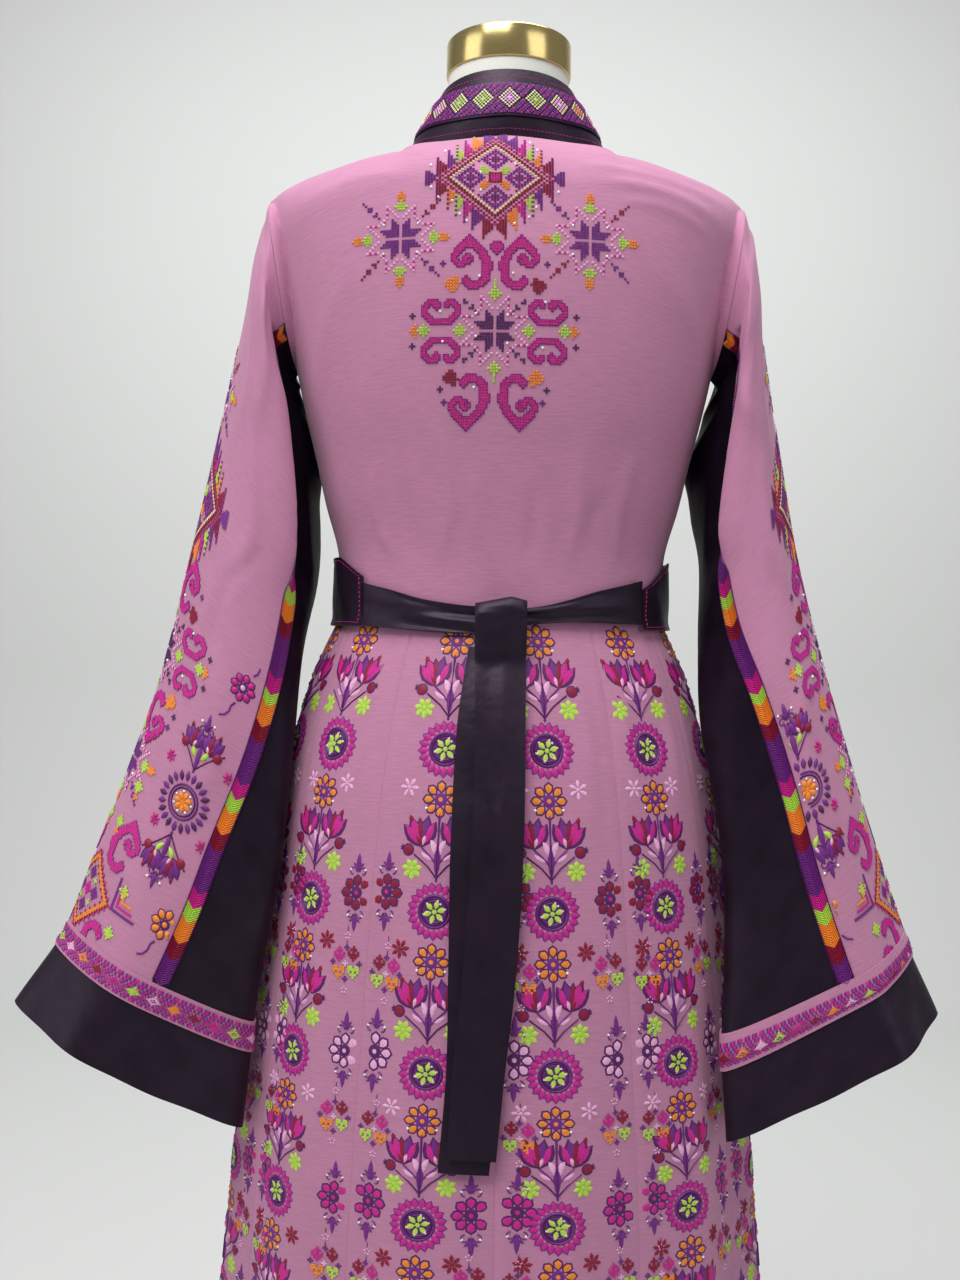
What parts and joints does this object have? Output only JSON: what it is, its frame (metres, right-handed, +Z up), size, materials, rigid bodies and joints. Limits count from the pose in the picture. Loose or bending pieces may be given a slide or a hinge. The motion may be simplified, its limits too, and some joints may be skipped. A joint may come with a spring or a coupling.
{
  "type": "embroidered kaftan on a limbless dress form",
  "caption": "Long open-front kaftan with bell sleeves, funnel collar, gored skirt and knotted satin belt, standing on a limbless dress form with a round base.",
  "frame": {"origin": "centre of the round base's underside, on the floor", "axes": "+Z up the pole to the neck cap; the garment's back faces -Y and its front faces +Y; +X is to the right when seen from the back"},
  "size_m": [0.7129, 0.4932, 1.504],
  "materials": {
    "mauve_crepe": "mauve crepe with a fine cross rib, matt",
    "plum_satin": "very dark plum satin, soft sheen",
    "embroidered_band": "purple band covered in cross-stitch, matt thread",
    "ribbon": "woven chevron ribbon in five colours",
    "form_cover": "off-white fine jersey cover",
    "form_cap": "polished brass",
    "form_metal": "off-white painted steel"
  },
  "bodies": {
    "root": {"form_torso": "form_cover", "form_neck_cap": "form_cap", "form_pole": "form_metal", "form_flange": "form_metal", "form_base": "form_metal", "bodice_back": "mauve_crepe", "bodice_front_left": "mauve_crepe", "bodice_front_right": "mauve_crepe", "collar": "plum_satin", "collar_band": "embroidered_band", "sleeve_outer_left": "mauve_crepe", "sleeve_outer_right": "mauve_crepe", "sleeve_under_left": "plum_satin", "sleeve_under_right": "plum_satin", "trim_back_left": "ribbon", "trim_back_right": "ribbon", "trim_front_left": "ribbon", "trim_front_right": "ribbon", "cuff_band_left": "embroidered_band", "cuff_band_right": "embroidered_band", "cuff_left": "plum_satin", "cuff_right": "plum_satin", "gore_back_1_left": "mauve_crepe", "gore_back_1_right": "mauve_crepe", "gore_back_2_left": "mauve_crepe", "gore_back_2_right": "mauve_crepe", "gore_back_3_left": "mauve_crepe", "gore_back_3_right": "mauve_crepe", "gore_front_4_left": "mauve_crepe", "gore_front_4_right": "mauve_crepe", "gore_front_5_left": "mauve_crepe", "gore_front_5_right": "mauve_crepe", "gore_front_6_left": "mauve_crepe", "gore_front_6_right": "mauve_crepe", "belt_front": "plum_satin", "belt_tie_left": "plum_satin", "belt_tie_right": "plum_satin", "belt_knot": "plum_satin", "belt_tail_front": "plum_satin", "belt_tail_back": "plum_satin"}
  },
  "joints": []
}
